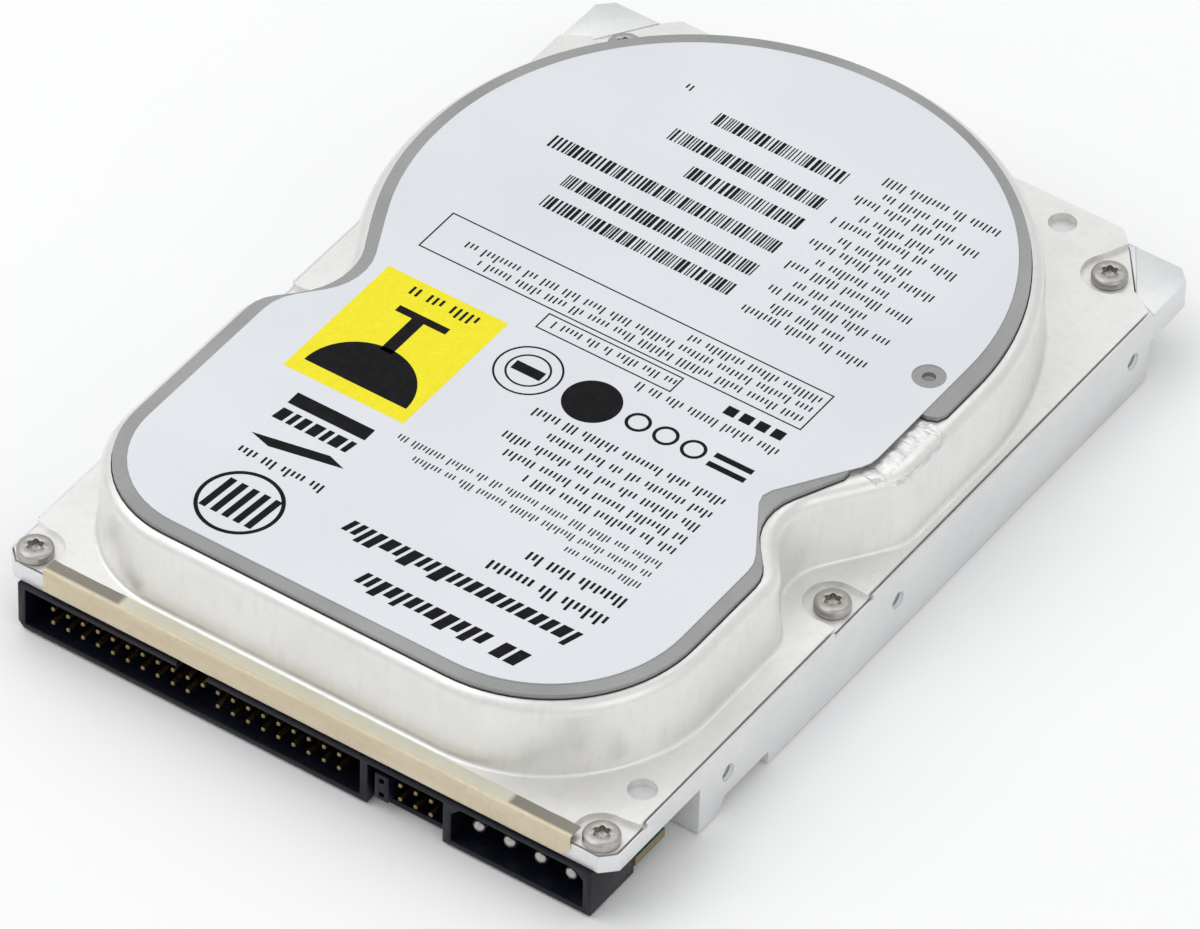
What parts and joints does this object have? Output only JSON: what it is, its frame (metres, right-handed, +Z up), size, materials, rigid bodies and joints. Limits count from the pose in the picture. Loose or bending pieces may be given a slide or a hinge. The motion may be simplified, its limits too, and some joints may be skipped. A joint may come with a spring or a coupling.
{
  "type": "hard disk drive",
  "caption": "Desktop hard disk drive: cast base, drawn cover over spinning discs and a swinging head actuator, circuit board below, data and power connectors at one end.",
  "frame": {"origin": "middle of the drive's overall length and width, on the plane the rails rest on", "axes": "+Z up through the label, +Y from the connector end to the spindle end, +X to the right seen from the connector end"},
  "size_m": [0.1016, 0.147, 0.0261],
  "materials": {
    "cast_aluminium": "satin, as cast with machined faces",
    "drawn_cover": "satin pressed sheet",
    "damping_steel": "matte grey plate",
    "screw_steel": "dull nickel",
    "gasket_foam": "matte",
    "label_film": "printed film, semi-gloss",
    "seal_foil": "thin foil tape",
    "paper_tape": "cream tape with a grey cut end",
    "board_laminate": "solder mask, semi-gloss",
    "insulator_foam": "matte foam",
    "connector_plastic": "satin moulding",
    "gold_pins": "gold flash",
    "tin_pins": "tin plated",
    "chip_epoxy": "matte",
    "crystal_can": "satin can",
    "capacitor_body": "satin",
    "resistor_body": "satin",
    "contact_plastic": "satin",
    "motor_steel": "turned",
    "lamination": "dull",
    "copper_wire": "varnished wire",
    "bearing_steel": "ground",
    "hub_aluminium": "turned",
    "magnet": "dull",
    "disc_mirror": "polished",
    "arm_aluminium": "satin",
    "spring_steel": "bright",
    "slider_ceramic": "matte",
    "polyimide": "amber film",
    "magnet_nickel": "nickel plated",
    "stop_rubber": "matte",
    "filter_cloth": "felt"
  },
  "bodies": {
    "drive": {"base_casting": "cast_aluminium", "cover_gasket": "gasket_foam", "top_cover": "drawn_cover", "cover_screws": "screw_steel", "damping_plate": "damping_steel", "top_label": "label_film", "side_port_seal": "seal_foil", "front_seal_tape": "paper_tape", "circuit_board": "board_laminate", "board_insulator": "insulator_foam", "board_screws": "screw_steel", "connector_housing": "connector_plastic", "data_pins": "gold_pins", "setting_pins": "gold_pins", "power_pins": "tin_pins", "controller_chip": "chip_epoxy", "motor_driver_chip": "chip_epoxy", "buffer_chip": "chip_epoxy", "read_channel_chip": "chip_epoxy", "firmware_chip": "chip_epoxy", "clock_crystal": "crystal_can", "board_capacitors": "capacitor_body", "board_resistors": "resistor_body", "motor_contacts": "contact_plastic", "head_header": "connector_plastic", "spindle_bracket": "motor_steel", "stator_core": "lamination", "stator_coils": "copper_wire", "lower_spindle_bearing": "bearing_steel", "upper_spindle_bearing": "bearing_steel", "pivot_shaft": "bearing_steel", "flex_cable": "polyimide", "flex_bracket": "connector_plastic", "lower_magnet_plate": "motor_steel", "lower_magnet": "magnet_nickel", "upper_magnet": "magnet_nickel", "upper_magnet_plate": "motor_steel", "yoke_posts": "motor_steel", "crash_stops": "stop_rubber", "recirculation_filter": "filter_cloth", "breather_filter": "filter_cloth"},
    "disc_pack": {"spindle_shaft": "bearing_steel", "spindle_hub": "hub_aluminium", "rotor_magnet": "magnet", "lower_disc": "disc_mirror", "disc_spacer": "hub_aluminium", "upper_disc": "disc_mirror", "disc_clamp": "hub_aluminium", "clamp_screws": "screw_steel"},
    "head_actuator": {"pivot_bearings": "bearing_steel", "pivot_sleeve": "motor_steel", "arm_block": "arm_aluminium", "voice_coil": "copper_wire", "coil_frame": "connector_plastic", "head_suspensions": "spring_steel", "head_sliders": "slider_ceramic", "arm_flex_tail": "polyimide", "preamp_chip": "chip_epoxy"},
    "jumper": {"jumper_cap": "connector_plastic"}
  },
  "joints": [
    {"name": "disc_spin", "type": "hinge", "parent": "drive", "child": "disc_pack", "pos_m": [0.0003, 0.0217, 0.0156], "axis": [0, 0, 1], "continuous": true},
    {"name": "head_swing", "type": "hinge", "parent": "drive", "child": "head_actuator", "pos_m": [-0.006, -0.0335, 0.0156], "axis": [0, 0, 1], "range_deg": [0, 26]},
    {"name": "jumper_pull", "type": "slide", "parent": "drive", "child": "jumper", "axis": [0, -1, 0], "range_m": [0, 0.008]}
  ]
}
